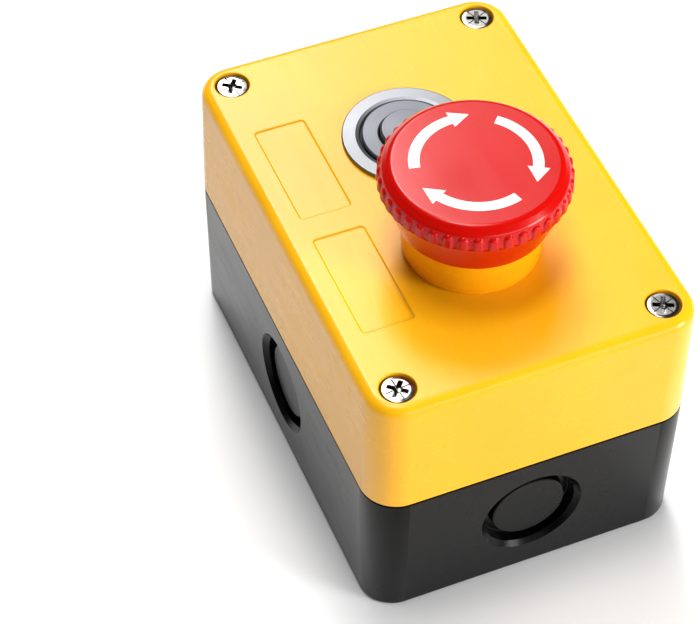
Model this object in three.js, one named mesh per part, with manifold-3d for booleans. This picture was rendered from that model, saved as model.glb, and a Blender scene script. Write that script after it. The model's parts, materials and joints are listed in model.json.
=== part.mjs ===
// An emergency stop station: a yellow-lidded control box with a twist-to-release mushroom button
// and a key switch, each working its own contact block inside the box.
// Millimetres, +Z up. The origin is the centre of the underside of the base. X is the width and
// Y is the length; the button stands near the -Y end and the key switch near the +Y end.

import * as THREE from "three";
import { mergeVertices } from "three/addons/utils/BufferGeometryUtils.js";
import Module from "manifold-3d";

const wasm = await Module();
wasm.setup();

// Enclosure
const BOX_WIDTH = 72; // at the parting line, where the box is widest
const BOX_LENGTH = 104;
const BOX_HEIGHT = 64.7;
const BASE_TOP = 34.6;
const PARTING_GAP = 0.3;
const CORNER_RADIUS = 7.8;
const LID_EDGE_RADIUS = 2.3;
const LID_DRAFT = THREE.MathUtils.degToRad(0.64);
const BASE_DRAFT = THREE.MathUtils.degToRad(0.73);
const WALL = 3;
const FLOOR = 2.5;
const LABEL_DEPTH = 0.4;

// Lid screws
const SCREW_X = 28.8;
const SCREW_Y = 45.2;
const SCREW_WELL_RADIUS = 3.8;
const SCREW_SEAT = 61.65;
const SCREW_HEAD_RADIUS = 3.45;
const SCREW_HEAD_HEIGHT = 2.6;
const SCREW_RADIUS = 1.9;
const SCREW_TIP = 18;
const BOSS_RADIUS = 5;

// Holes in the floor for the screws that hold the box to a wall
const WALL_HOLE_RADIUS = 2.2;
const WALL_HOLE_X = 20;
const WALL_HOLE_Y = 40;

// Seal between the lid and the base, in a groove in the lid's rim; insets are from the outline
const SEAL_OUTER_INSET = 0.9;
const SEAL_INNER_INSET = 2.1;
const SEAL_GROOVE_DEPTH = 1.5;

// Recesses for legend plates, to the left of each station
const LABEL_LEFT = -29.8;
const LABEL_RIGHT = -18.4;
const LABEL_LENGTH = 27;
const LABEL_STARTS = [-30.1, 2.9];

// Cable knockouts, for a 20 mm gland
const KNOCKOUT_HEIGHT = 17.9;
const KNOCKOUT_RADIUS = 10.2;
const KNOCKOUT_DISC_RADIUS = 8.2;
const KNOCKOUT_CHAMFER = 1.2;
const KNOCKOUT_SINK = 1.6;
const KNOCKOUT_GROOVE = 3.8;
const KNOCKOUT_PAD_RADIUS = 12.4;
const KNOCKOUT_PAD = 5;

// Control stations, on the lid; heights of their pieces are measured from the lid's top face
const STATION_X = 0;
const STOP_Y = -15.7;
const KEY_Y = 16.7;
const PANEL_HOLE_RADIUS = 11.2;
const THREAD_RADIUS = 10.95;
const THREAD_BORE_RADIUS = 11.25;
const CLEARANCE = 0.3;
const NUT_TOP = -4;
const SLEEVE_BOTTOM = -20;
const SLEEVE_FLOOR = 1.5;
const SLEEVE_BORE_RADIUS = 8.6;
const CARRIER_TOP = -20.3;
const CARRIER_BOTTOM = -24;

// Emergency stop button
const PRESS_TRAVEL = 5;
const COLLAR_RADIUS = 14.4;
const COLLAR_HEIGHT = 10.5;
const COLLAR_SHOULDER = 6.9;
const STEM_RADIUS = 8.3;
const STEM_FOOT_RADIUS = 4.5;
const STEM_FOOT = -18.4;
const STEM_SHOULDER = -6.5;
const STEM_TOP = 14;
const PIN_HEIGHT = 3;
const PIN_RADIUS = 1.3;
const PIN_TRAVEL = 1.1;
const HUB_RADIUS = 4.5;
const SKIRT_BOTTOM = 9.5;
const SKIRT_TOP = 18.7;
const SKIRT_BOTTOM_RADIUS = 15.9;
const SKIRT_TOP_RADIUS = 19.2;
const TEETH_TOP = 21.5;
const TEETH_RADIUS = 19.85;
const HEAD_TOP = 23.7;
const TEETH = 40;
const TOOTH_WIDTH = 1.8;

// Key switch
const KEY_FLANGE_RADIUS = 12.8;
const KEY_FLANGE_TOP = 0.35;
const KEY_SEAT = 0.5;
const KEY_BEZEL_RADIUS = 14;
const KEY_BEZEL_TOP = 1;
const KEY_RING_RADIUS = 9.8;
const KEY_RING_TOP = 1.4;
const KEY_PLUG_RADIUS = 5.9;
const KEY_PLUG_TOP = 2.6;
const KEYWAY_ANGLE = THREE.MathUtils.degToRad(30);
const KEY_CAM_TOP = -7.8;
const KEY_CAM_FACE = -9.3;
const KEY_TRAVEL = 3;
const KEY_TURN = Math.PI / 2;
const RAMP_TURN = THREE.MathUtils.degToRad(110);

// Contact blocks, hung under each carrier
const BLOCK_TOP = -24.3;
const BLOCK_BOTTOM = -52;
const BLOCK_HALF_LENGTH = 15.5;
const BLOCK_HALF_WIDTH = 6;
const BLOCK_WALL = 1.5;
const COVER_THICKNESS = 1.4;
const CAGE_DEPTH = 2.3;
const TERMINAL_X = 10.7;
const CONTACT_X = 5.5;

// Sides of round pieces, and steps around each corner of the box
const FINE = 32;
const MEDIUM = 20;
const COARSE = 12;
const SMALL = 8;
const CORNER_STEPS = 5;

// Materials

function material(color, roughness, metalness = 0) {
  return new THREE.MeshStandardMaterial({ color, roughness, metalness });
}

const YELLOW_PLASTIC = material(0xfbd33a, 0.45);
const COLLAR_YELLOW = material(0xf7b500, 0.35);
const BLACK_PLASTIC = material(0x262523, 0.5);
const RED_PLASTIC = material(0xd8140f, 0.3);
const GREY_PLASTIC = material(0x6d7175, 0.5);
const GREEN_PLASTIC = material(0x2f7d46, 0.45);
const RUBBER = material(0x1b1b1b, 0.8);
const NICKEL = material(0xc9c9c6, 0.3, 1);
const SATIN_CHROME = material(0xd9dbe0, 0.3, 1);
const GREY_METAL = material(0x9aa0a8, 0.4, 1);
const BRASS = material(0xc9a24a, 0.35, 1);
const SPRING_STEEL = material(0xa9abad, 0.35, 1);

// Solids: three.js geometry in, three.js geometry out

function toSolid(geometry) {
  const bare = geometry.clone();
  bare.deleteAttribute("normal");
  bare.deleteAttribute("uv");
  const merged = mergeVertices(bare, 1e-4);
  const vertProperties = new Float32Array(merged.attributes.position.array);
  const triVerts = new Uint32Array(merged.index.array);
  return new wasm.Manifold(new wasm.Mesh({ numProp: 3, vertProperties, triVerts }));
}

function toGeometry(solid) {
  const { numProp, vertProperties, triVerts } = solid.getMesh();
  if (numProp !== 3) throw new Error("expected bare positions");
  const geometry = new THREE.BufferGeometry();
  geometry.setAttribute("position", new THREE.BufferAttribute(vertProperties, 3));
  geometry.setIndex(new THREE.BufferAttribute(triVerts, 1));
  geometry.computeVertexNormals();
  return geometry;
}

function join(first, ...others) {
  return others.reduce((sum, geometry) => sum.add(toSolid(geometry)), toSolid(first));
}

function cut(solid, ...tools) {
  return tools.reduce((rest, geometry) => rest.subtract(toSolid(geometry)), solid);
}

function mesh(name, shape, look) {
  const geometry = shape.isBufferGeometry ? shape : toGeometry(shape);
  const piece = new THREE.Mesh(geometry, look);
  piece.name = name;
  return piece;
}

// Shapes

function block(x0, x1, y0, y1, z0, z1) {
  const geometry = new THREE.BoxGeometry(x1 - x0, y1 - y0, z1 - z0);
  return geometry.translate((x0 + x1) / 2, (y0 + y1) / 2, (z0 + z1) / 2);
}

function post(radius, z0, z1, x = 0, y = 0, segments = COARSE) {
  const geometry = new THREE.CylinderGeometry(radius, radius, z1 - z0, segments);
  return geometry.rotateX(Math.PI / 2).translate(x, y, (z0 + z1) / 2);
}

// A body of revolution about Z. The profile holds [radius, height] pairs, anticlockwise; it either
// starts and ends on the axis or is closed into a ring.
function turned(profile, segments = FINE) {
  const points = profile.map(([radius, height]) => new THREE.Vector2(radius, height));
  const onAxis = profile[0][0] === 0 && profile[profile.length - 1][0] === 0;
  if (!onAxis) points.push(points[0].clone());
  return new THREE.LatheGeometry(points, segments).rotateX(Math.PI / 2);
}

function roundedOutline(halfX, halfY, radius) {
  const outline = [];
  const corners = [[1, 1, 0], [-1, 1, 1], [-1, -1, 2], [1, -1, 3]];
  for (const [signX, signY, quarter] of corners) {
    for (let step = 0; step <= CORNER_STEPS; step += 1) {
      const angle = (quarter + step / CORNER_STEPS) * (Math.PI / 2);
      const x = signX * (halfX - radius) + radius * Math.cos(angle);
      const y = signY * (halfY - radius) + radius * Math.sin(angle);
      outline.push([x, y]);
    }
  }
  return outline;
}

// A closed body through rounded rectangles stacked upwards, each given as {z, inset}.
function stacked(levels) {
  const rings = levels.map(({ z, inset }) => {
    const radius = Math.max(CORNER_RADIUS - inset, 0.8);
    const outline = roundedOutline(BOX_WIDTH / 2 - inset, BOX_LENGTH / 2 - inset, radius);
    return outline.map(([x, y]) => [x, y, z]);
  });
  const count = rings[0].length;
  const bottom = rings.length * count;
  const top = bottom + 1;
  const positions = [...rings.flat(), [0, 0, levels[0].z], [0, 0, levels[levels.length - 1].z]];
  const faces = [];
  for (let i = 0; i < count; i += 1) {
    const next = (i + 1) % count;
    faces.push([bottom, next, i]);
    for (let level = 0; level + 1 < rings.length; level += 1) {
      const low = level * count;
      const high = low + count;
      faces.push([low + i, low + next, high + next], [low + i, high + next, high + i]);
    }
    faces.push([top, (rings.length - 1) * count + i, (rings.length - 1) * count + next]);
  }
  const geometry = new THREE.BufferGeometry();
  geometry.setAttribute("position", new THREE.Float32BufferAttribute(positions.flat(), 3));
  geometry.setIndex(faces.flat());
  return geometry;
}

class Helix extends THREE.Curve {
  constructor(radius, z0, z1, turns) {
    super();
    Object.assign(this, { radius, z0, z1, turns });
  }

  getPoint(t, target = new THREE.Vector3()) {
    const angle = t * this.turns * 2 * Math.PI;
    const z = THREE.MathUtils.lerp(this.z0, this.z1, t);
    return target.set(this.radius * Math.cos(angle), this.radius * Math.sin(angle), z);
  }
}

function coilSpring(radius, wire, z0, z1, turns) {
  const section = new THREE.Shape().absarc(0, 0, wire, 0, 2 * Math.PI);
  const path = new Helix(radius, z0 + wire, z1 - wire, turns);
  const steps = Math.round(turns * 8);
  return new THREE.ExtrudeGeometry(section, { extrudePath: path, steps, curveSegments: 3 });
}

// A fillister or pan screw pointing down, with a cross recess in its head.
function crossScrew(head, headHeight, shank, tip, seat) {
  const top = seat + headHeight;
  const body = turned([
    [0, tip], [shank * 0.6, tip], [shank, tip + shank], [shank, seat], [head, seat],
    [head, top - 0.5], [head - 0.5, top], [0, top],
  ], COARSE);
  const arm = head * 0.62;
  const half = head * 0.14;
  const floor = top - headHeight * 0.5;
  const recess = [
    block(-arm, arm, -half, half, floor, top + 1),
    block(-half, half, -arm, arm, floor, top + 1),
  ];
  return cut(toSolid(body), ...recess);
}

// Enclosure

const CORNERS = [[-1, -1], [1, -1], [1, 1], [-1, 1]];

function lidInset(z) {
  return (z - BASE_TOP) * Math.tan(LID_DRAFT);
}

function baseInset(z) {
  return (BASE_TOP - z) * Math.tan(BASE_DRAFT);
}

function lidLevels() {
  const levels = [{ z: BASE_TOP + PARTING_GAP, inset: lidInset(BASE_TOP + PARTING_GAP) }];
  const steps = 5;
  for (let step = 0; step <= steps; step += 1) {
    const angle = (step / steps) * (Math.PI / 2);
    const z = BOX_HEIGHT - LID_EDGE_RADIUS * (1 - Math.sin(angle));
    levels.push({ z, inset: lidInset(z) + LID_EDGE_RADIUS * (1 - Math.cos(angle)) });
  }
  return levels;
}

// A ring that follows the box's outline, between two insets from it.
function sealRing(inner, outer, z0, z1) {
  const ring = stacked([{ z: z0, inset: outer }, { z: z1, inset: outer }]);
  const core = stacked([{ z: z0 - 1, inset: inner }, { z: z1 + 1, inset: inner }]);
  return toGeometry(cut(toSolid(ring), core));
}

// Holes or posts at the four corners, on the lid screws' axes.
function atCorners(radius, z0, z1) {
  return CORNERS.map(([x, y]) => post(radius, z0, z1, x * SCREW_X, y * SCREW_Y));
}

function lid() {
  const rim = BASE_TOP + PARTING_GAP;
  const ceiling = BOX_HEIGHT - WALL;
  const above = BOX_HEIGHT + 1;
  const outside = toSolid(stacked(lidLevels()));
  const hollow = stacked([
    { z: rim - 1, inset: WALL },
    { z: ceiling - 2, inset: WALL + 0.4 },
    { z: ceiling, inset: WALL + 2 },
  ]);
  const columns = atCorners(BOSS_RADIUS, rim, ceiling + 1);
  const filled = columns.reduce((solid, column) => solid.add(toSolid(column)), cut(outside, hollow));
  const wells = atCorners(SCREW_WELL_RADIUS, SCREW_SEAT, above);
  const bores = atCorners(SCREW_RADIUS + CLEARANCE, rim - 1, SCREW_SEAT + 1);
  const panelHoles = [STOP_Y, KEY_Y].map((y) =>
    post(PANEL_HOLE_RADIUS, ceiling - 1, above, STATION_X, y, FINE));
  const labels = LABEL_STARTS.map((y) =>
    block(LABEL_LEFT, LABEL_RIGHT, y, y + LABEL_LENGTH, BOX_HEIGHT - LABEL_DEPTH, above));
  const groove = sealRing(SEAL_INNER_INSET, SEAL_OUTER_INSET, rim - 1, rim + SEAL_GROOVE_DEPTH);
  return cut(filled.intersect(outside), ...wells, ...bores, ...panelHoles, ...labels, groove);
}

// The cutters of one knockout, on a wall whose outer face is at -Y and passes through the origin.
function knockoutCutters() {
  const outer = KNOCKOUT_RADIUS + KNOCKOUT_CHAMFER;
  const mouth = turned([
    [0, -1], [outer + 1, -1], [outer, 0], [KNOCKOUT_RADIUS, KNOCKOUT_CHAMFER],
    [KNOCKOUT_RADIUS, KNOCKOUT_SINK], [0, KNOCKOUT_SINK],
  ], MEDIUM);
  const groove = turned([
    [KNOCKOUT_DISC_RADIUS, 1], [KNOCKOUT_RADIUS, 1],
    [KNOCKOUT_RADIUS, KNOCKOUT_GROOVE], [KNOCKOUT_DISC_RADIUS, KNOCKOUT_GROOVE],
  ], MEDIUM);
  return [mouth, groove].map((geometry) => geometry.rotateX(-Math.PI / 2));
}

function base() {
  const outside = toSolid(stacked([
    { z: 0, inset: baseInset(0) + 0.5 },
    { z: 0.5, inset: baseInset(0.5) },
    { z: BASE_TOP, inset: 0 },
  ]));
  const hollow = stacked([{ z: FLOOR, inset: WALL + 0.4 }, { z: BASE_TOP + 1, inset: WALL }]);
  const walls = [
    { turn: 0, reach: BOX_LENGTH / 2 },
    { turn: Math.PI, reach: BOX_LENGTH / 2 },
    { turn: Math.PI / 2, reach: BOX_WIDTH / 2 },
    { turn: -Math.PI / 2, reach: BOX_WIDTH / 2 },
  ];
  const faceOffset = baseInset(KNOCKOUT_HEIGHT);
  const onWall = (geometry, { turn, reach }) =>
    geometry.translate(0, faceOffset - reach, KNOCKOUT_HEIGHT).rotateZ(turn);
  const pads = walls.map((wall) => {
    const pad = post(KNOCKOUT_PAD_RADIUS, 0, KNOCKOUT_PAD, 0, 0, MEDIUM);
    return onWall(pad.rotateX(-Math.PI / 2), wall);
  });
  const bosses = atCorners(BOSS_RADIUS, 1, BASE_TOP);
  const shell = cut(outside, hollow);
  const filled = [...pads, ...bosses].reduce((solid, geometry) => solid.add(toSolid(geometry)), shell);
  const pilots = atCorners(SCREW_RADIUS + CLEARANCE, 12, BASE_TOP + 1);
  const wallHoles = CORNERS.map(([x, y]) =>
    post(WALL_HOLE_RADIUS, -1, FLOOR + 1, x * WALL_HOLE_X, y * WALL_HOLE_Y));
  const knockouts = walls.flatMap((wall) => knockoutCutters().map((cutter) => onWall(cutter, wall)));
  return cut(filled.intersect(outside), ...pilots, ...wallHoles, ...knockouts);
}

function enclosure() {
  const group = new THREE.Group();
  const squeezed = SEAL_GROOVE_DEPTH - 0.2;
  const gasket = sealRing(
    SEAL_INNER_INSET - 0.15, SEAL_OUTER_INSET + 0.15, BASE_TOP + 0.05, BASE_TOP + PARTING_GAP + squeezed);
  group.add(
    mesh("base_box", base(), BLACK_PLASTIC),
    mesh("lid", lid(), YELLOW_PLASTIC),
    mesh("lid_gasket", gasket, RUBBER),
  );
  CORNERS.forEach(([x, y], index) => {
    const seat = SCREW_SEAT + 0.05;
    const solid = crossScrew(SCREW_HEAD_RADIUS, SCREW_HEAD_HEIGHT, SCREW_RADIUS, SCREW_TIP, seat);
    const screw = mesh(`lid_screw_${index + 1}`, solid, NICKEL);
    screw.position.set(x * SCREW_X, y * SCREW_Y, 0);
    group.add(screw);
  });
  return group;
}

// Pieces that both stations share: heights from the lid's top face, centred on the station's axis

function ringNut() {
  const ring = turned([
    [THREAD_BORE_RADIUS, -6.8], [13.6, -6.8], [14.3, -6.1], [14.3, NUT_TOP], [THREAD_BORE_RADIUS, NUT_TOP],
  ], MEDIUM);
  const notches = [];
  for (let i = 0; i < 8; i += 1) {
    notches.push(block(13.2, 15, -1.3, 1.3, -8, -3).rotateZ((i * Math.PI) / 4));
  }
  return cut(toSolid(ring), ...notches);
}

// The rubber washer between a ring nut and the underside of the lid.
function nutWasher() {
  const top = -WALL - 0.05;
  const bottom = NUT_TOP + 0.05;
  return turned([
    [THREAD_BORE_RADIUS + 0.05, bottom], [14, bottom], [14, top], [THREAD_BORE_RADIUS + 0.05, top],
  ], MEDIUM);
}

function contactCarrier() {
  const plate = block(-17.4, 17.4, -13, 13, CARRIER_BOTTOM, CARRIER_TOP);
  const socket = turned([
    [THREAD_BORE_RADIUS, CARRIER_TOP - 1], [13.6, CARRIER_TOP - 1], [13.6, -14], [THREAD_BORE_RADIUS, -14],
  ], MEDIUM);
  const legs = [-1, 1].flatMap((side) => {
    const leg = block(15.8, 17.4, -2.9, 2.9, -29.5, CARRIER_BOTTOM + 1);
    const hook = block(14.6, 16.5, -2.9, 2.9, -29.5, -28.2);
    return [leg, hook].map((geometry) => geometry.rotateZ(side > 0 ? 0 : Math.PI));
  });
  return cut(join(plate, socket, ...legs), post(5.3, CARRIER_BOTTOM - 1, CARRIER_TOP + 1));
}

function blockHousing() {
  const inner = BLOCK_HALF_LENGTH - BLOCK_WALL;
  const back = BLOCK_HALF_WIDTH - BLOCK_WALL;
  const length = BLOCK_HALF_LENGTH;
  const width = BLOCK_HALF_WIDTH;
  const shell = block(-length, length, -width, width, BLOCK_BOTTOM, BLOCK_TOP);
  const floor = BLOCK_BOTTOM + BLOCK_WALL;
  const cavity = block(-inner, inner, -width - 1, back, floor, BLOCK_TOP - BLOCK_WALL);
  const plungerHole = post(2.6, BLOCK_TOP - 3, BLOCK_TOP + 1);
  const sides = [0, Math.PI].flatMap((turn) => [
    block(inner - 1, length + 1, -2.6, 2.6, -41, -34),
    block(inner - 1, length + 1, -3.3, 3.3, -29.9, -27.8),
    post(3, BLOCK_BOTTOM - 1, BLOCK_BOTTOM + 2, TERMINAL_X, 0),
  ].map((geometry) => geometry.rotateZ(turn)));
  return cut(toSolid(shell), cavity, plungerHole, ...sides);
}

function blockCover() {
  const inner = BLOCK_HALF_LENGTH - BLOCK_WALL - 0.1;
  const low = BLOCK_BOTTOM + BLOCK_WALL + 0.1;
  const high = BLOCK_TOP - BLOCK_WALL - 0.1;
  return block(-inner, inner, -BLOCK_HALF_WIDTH, COVER_THICKNESS - BLOCK_HALF_WIDTH, low, high);
}

// A terminal strip with its contact rivet, on the +X side. The rivet points down on a normally
// closed block and up on a normally open one.
function fixedContact(stripBottom, rivetUp) {
  const stripTop = stripBottom + 1;
  const strip = block(4.3, 13.6, -2.8, 2.8, stripBottom, stripTop);
  const rivet = rivetUp
    ? post(1.2, stripTop - 0.5, stripTop + 0.5, CONTACT_X, 0, SMALL)
    : post(1.2, stripBottom - 0.5, stripBottom + 0.5, CONTACT_X, 0, SMALL);
  return cut(join(strip, rivet), post(1.8, stripBottom - 1, stripTop + 1, TERMINAL_X, 0, SMALL));
}

function clampPlate(stripBottom) {
  const plate = block(8, 13.4, -2.8, 2.8, stripBottom - 1.6, stripBottom - 0.8);
  return cut(toSolid(plate), post(1.8, stripBottom - 3, stripBottom, TERMINAL_X, 0, SMALL));
}

// The contact plunger: a post through the block's roof and a cage below it that holds the bridge.
function blockPlunger(top, barTop) {
  const cageTop = barTop + 4.9;
  const cageBottom = barTop - CAGE_DEPTH;
  const body = join(block(-2, 2, -3.4, 3.4, cageBottom, cageTop), post(2.3, cageTop - 1, top));
  return cut(body, block(-3, 3, -2.1, 2.1, barTop - 1.3, barTop + 0.1));
}

function contactBridge(barTop, rivetUp) {
  const bar = block(-7, 7, -1.8, 1.8, barTop - 0.8, barTop);
  const low = barTop - (rivetUp ? 0.4 : 1.3);
  const rivets = [-CONTACT_X, CONTACT_X].map((x) => post(1.2, low, low + 0.9, x, 0, SMALL));
  return join(bar, ...rivets);
}

function contactBlock(prefix, { plungerTop, barTop, stripBottom, normallyClosed }) {
  const group = new THREE.Group();
  const springTop = barTop - CAGE_DEPTH - 0.3;
  const springBottom = BLOCK_BOTTOM + BLOCK_WALL + 0.2;
  const spring = coilSpring(2.4, 0.35, springBottom, springTop, 5.5);
  group.add(
    mesh(`${prefix}_block_housing`, blockHousing(), GREY_PLASTIC),
    mesh(`${prefix}_block_cover`, blockCover(), GREY_PLASTIC),
    mesh(`${prefix}_block_plunger`, blockPlunger(plungerTop, barTop), GREEN_PLASTIC),
    mesh(`${prefix}_contact_bridge`, contactBridge(barTop, normallyClosed), BRASS),
    mesh(`${prefix}_contact_spring`, spring, SPRING_STEEL),
  );
  for (const [side, turn] of [["right", 0], ["left", Math.PI]]) {
    const contact = mesh(
      `${prefix}_fixed_contact_${side}`, fixedContact(stripBottom, !normallyClosed), BRASS);
    const clamp = mesh(`${prefix}_clamp_plate_${side}`, clampPlate(stripBottom), NICKEL);
    const screw = crossScrew(2.7, 2.2, 1.5, -(stripBottom + 3.5), 1.9 - stripBottom);
    const screwMesh = mesh(`${prefix}_terminal_screw_${side}`, screw, NICKEL);
    contact.rotation.z = turn;
    clamp.rotation.z = turn;
    screwMesh.rotation.x = Math.PI;
    screwMesh.position.x = turn === 0 ? TERMINAL_X : -TERMINAL_X;
    group.add(contact, clamp, screwMesh);
  }
  return group;
}

// Emergency stop operator

function estopCollar() {
  return turned([
    [THREAD_BORE_RADIUS, 0], [11.9, 0], [11.9, 1], [13.4, 1], [13.4, 0], [COLLAR_RADIUS - 0.3, 0],
    [COLLAR_RADIUS, 0.4], [COLLAR_RADIUS + 0.05, 5], [COLLAR_RADIUS - 0.1, COLLAR_HEIGHT - 0.9],
    [COLLAR_RADIUS - 0.7, COLLAR_HEIGHT], [12.7, COLLAR_HEIGHT], [12.7, COLLAR_SHOULDER],
    [THREAD_BORE_RADIUS, COLLAR_SHOULDER],
  ]);
}

function estopSleeve() {
  const floorTop = SLEEVE_BOTTOM + SLEEVE_FLOOR;
  const grooveTop = PIN_HEIGHT + PIN_RADIUS;
  const grooveRadius = SLEEVE_BORE_RADIUS + PIN_TRAVEL + 0.05;
  const grooveBottom = PIN_HEIGHT - PRESS_TRAVEL - PIN_RADIUS - 0.2;
  const flangeTop = COLLAR_SHOULDER + 2.1;
  const tube = turned([
    [5, SLEEVE_BOTTOM], [THREAD_RADIUS, SLEEVE_BOTTOM], [THREAD_RADIUS, COLLAR_SHOULDER + 0.1],
    [12.4, COLLAR_SHOULDER + 0.1], [12.4, flangeTop], [SLEEVE_BORE_RADIUS, flangeTop],
    [SLEEVE_BORE_RADIUS, grooveTop], [grooveRadius, grooveTop - PRESS_TRAVEL],
    [grooveRadius, grooveBottom], [SLEEVE_BORE_RADIUS, grooveBottom - 0.7],
    [SLEEVE_BORE_RADIUS, floorTop], [5, floorTop],
  ]);
  const keySlot = block(-1.1, 1.1, -9.5, 9.5, STEM_SHOULDER - PRESS_TRAVEL - 0.5, flangeTop + 1);
  return cut(toSolid(tube), keySlot);
}

function estopStem() {
  const body = turned([
    [0, STEM_FOOT], [STEM_FOOT_RADIUS, STEM_FOOT], [STEM_FOOT_RADIUS, STEM_SHOULDER],
    [STEM_RADIUS, STEM_SHOULDER], [STEM_RADIUS, STEM_TOP], [6.4, STEM_TOP], [6.4, 10.5],
    [HUB_RADIUS + CLEARANCE, 10.5], [HUB_RADIUS + CLEARANCE, 6], [0, 6],
  ]);
  const keys = block(-0.8, 0.8, -9.2, 9.2, STEM_SHOULDER, STEM_SHOULDER + 5);
  const pinBores = [-1, 1].map((side) => {
    const bore = post(PIN_RADIUS + 0.2, 4, 10).rotateY(Math.PI / 2);
    return bore.rotateZ(side > 0 ? 0 : Math.PI).translate(0, 0, PIN_HEIGHT);
  });
  return cut(join(body, keys), ...pinBores);
}

function latchPin(side) {
  const pin = post(PIN_RADIUS, 4.4, STEM_RADIUS, 0, 0, SMALL).rotateY(Math.PI / 2);
  return pin.rotateZ(side > 0 ? 0 : Math.PI).translate(0, 0, PIN_HEIGHT);
}

function mushroomHead() {
  const body = turned([
    [0, 6.3], [HUB_RADIUS, 6.3], [HUB_RADIUS, 19.5], [16.6, 19.5], [14.85, SKIRT_BOTTOM],
    [SKIRT_BOTTOM_RADIUS, SKIRT_BOTTOM], [SKIRT_TOP_RADIUS, SKIRT_TOP], [19.2, 20.3],
    [18.9, TEETH_TOP], [18.2, 22.4], [17.1, 23.3], [15.4, HEAD_TOP], [0, HEAD_TOP - 0.1],
  ], TEETH);
  const tooth = new THREE.Shape([
    new THREE.Vector2(18, SKIRT_TOP), new THREE.Vector2(TEETH_RADIUS, SKIRT_TOP),
    new THREE.Vector2(TEETH_RADIUS - 0.1, SKIRT_TOP + 1.2),
    new THREE.Vector2(18.9, TEETH_TOP), new THREE.Vector2(18, TEETH_TOP),
  ]);
  const teeth = [];
  for (let i = 0; i < TEETH; i += 1) {
    const blade = new THREE.ExtrudeGeometry(tooth, { depth: TOOTH_WIDTH, bevelEnabled: false });
    blade.translate(0, 0, -TOOTH_WIDTH / 2).rotateX(Math.PI / 2);
    teeth.push(blade.rotateZ((i * 2 * Math.PI) / TEETH));
  }
  return join(body, ...teeth);
}

function emergencyStop() {
  const group = new THREE.Group();
  const springBottom = SLEEVE_BOTTOM + SLEEVE_FLOOR + 0.2;
  const seal = turned([[12.1, 0.05], [13.2, 0.05], [13.2, 0.8], [12.1, 0.8]], MEDIUM);
  const returnSpring = coilSpring(6.2, 0.6, springBottom, STEM_SHOULDER - 0.2, 4.5);
  group.add(
    mesh("estop_collar", estopCollar(), COLLAR_YELLOW),
    mesh("estop_panel_seal", seal, RUBBER),
    mesh("estop_sleeve", estopSleeve(), BLACK_PLASTIC),
    mesh("estop_nut_washer", nutWasher(), RUBBER),
    mesh("estop_ring_nut", ringNut(), GREY_PLASTIC),
    mesh("estop_stem", estopStem(), GREY_PLASTIC),
    mesh("estop_latch_pin_right", latchPin(1), NICKEL),
    mesh("estop_latch_pin_left", latchPin(-1), NICKEL),
    mesh("estop_return_spring", returnSpring, SPRING_STEEL),
    mesh("estop_twist_spring", coilSpring(5.6, 0.35, 10.7, 13.6, 3), SPRING_STEEL),
    mesh("mushroom_head", mushroomHead(), RED_PLASTIC),
    mesh("estop_contact_carrier", contactCarrier(), GREY_PLASTIC),
    contactBlock("estop", { plungerTop: -18.7, barTop: -35.9, stripBottom: -34.8, normallyClosed: true }),
  );
  return group;
}

// Key switch operator

function keyBezel() {
  const inner = KEY_RING_RADIUS + CLEARANCE;
  return turned([
    [KEY_FLANGE_RADIUS + CLEARANCE, 0], [KEY_BEZEL_RADIUS, 0], [KEY_BEZEL_RADIUS, KEY_BEZEL_TOP - 0.3],
    [KEY_BEZEL_RADIUS - 0.3, KEY_BEZEL_TOP], [inner + 0.4, KEY_BEZEL_TOP], [inner, KEY_BEZEL_TOP - 0.3],
    [inner, KEY_SEAT], [KEY_FLANGE_RADIUS + CLEARANCE, KEY_SEAT],
  ]);
}

function keyTrimRing() {
  const inner = KEY_PLUG_RADIUS + CLEARANCE;
  return turned([
    [inner, KEY_SEAT], [KEY_RING_RADIUS, KEY_SEAT], [KEY_RING_RADIUS, KEY_RING_TOP - 0.3],
    [KEY_RING_RADIUS - 0.3, KEY_RING_TOP], [inner, KEY_RING_TOP],
  ]);
}

function keySleeve() {
  const floorTop = SLEEVE_BOTTOM + SLEEVE_FLOOR;
  const chamberTop = KEY_CAM_TOP + CLEARANCE;
  const plugBore = KEY_PLUG_RADIUS + CLEARANCE;
  const tube = turned([
    [0, SLEEVE_BOTTOM], [THREAD_RADIUS, SLEEVE_BOTTOM], [THREAD_RADIUS, 0.05],
    [KEY_FLANGE_RADIUS, 0.05], [KEY_FLANGE_RADIUS, KEY_FLANGE_TOP], [plugBore, KEY_FLANGE_TOP],
    [plugBore, chamberTop], [SLEEVE_BORE_RADIUS, chamberTop], [SLEEVE_BORE_RADIUS, floorTop],
    [0, floorTop],
  ]);
  return cut(toSolid(tube), block(-3.8, 3.8, -3.8, 3.8, SLEEVE_BOTTOM - 1, floorTop + 1));
}

function keyCylinder() {
  const neckTop = KEY_CAM_TOP + 0.4;
  const plug = turned([
    [0, KEY_CAM_FACE], [3, KEY_CAM_FACE], [3, neckTop], [KEY_PLUG_RADIUS, neckTop],
    [KEY_PLUG_RADIUS, KEY_PLUG_TOP - 0.4], [KEY_PLUG_RADIUS - 0.4, KEY_PLUG_TOP], [0, KEY_PLUG_TOP],
  ]);
  const keyway = block(-4.3, 4.3, -0.9, 0.9, KEY_PLUG_TOP - 10, KEY_PLUG_TOP + 1);
  return cut(toSolid(plug), keyway.rotateZ(KEYWAY_ANGLE));
}

// How far the key cam's face reaches down at an angle measured clockwise from +X: two equal ramps,
// so that a quarter turn of the key is one KEY_TRAVEL. A lead ends each ramp's step early.
function rampDepth(clockwise, lead) {
  const turn = THREE.MathUtils.euclideanModulo(clockwise, Math.PI);
  const slope = KEY_TRAVEL / KEY_TURN;
  const rise = THREE.MathUtils.degToRad(6);
  const stepStart = Math.PI - lead - rise;
  const full = slope * RAMP_TURN;
  if (turn >= stepStart) return full * Math.min((turn - stepStart) / rise, 1);
  return Math.max(full - slope * turn, 0);
}

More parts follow.
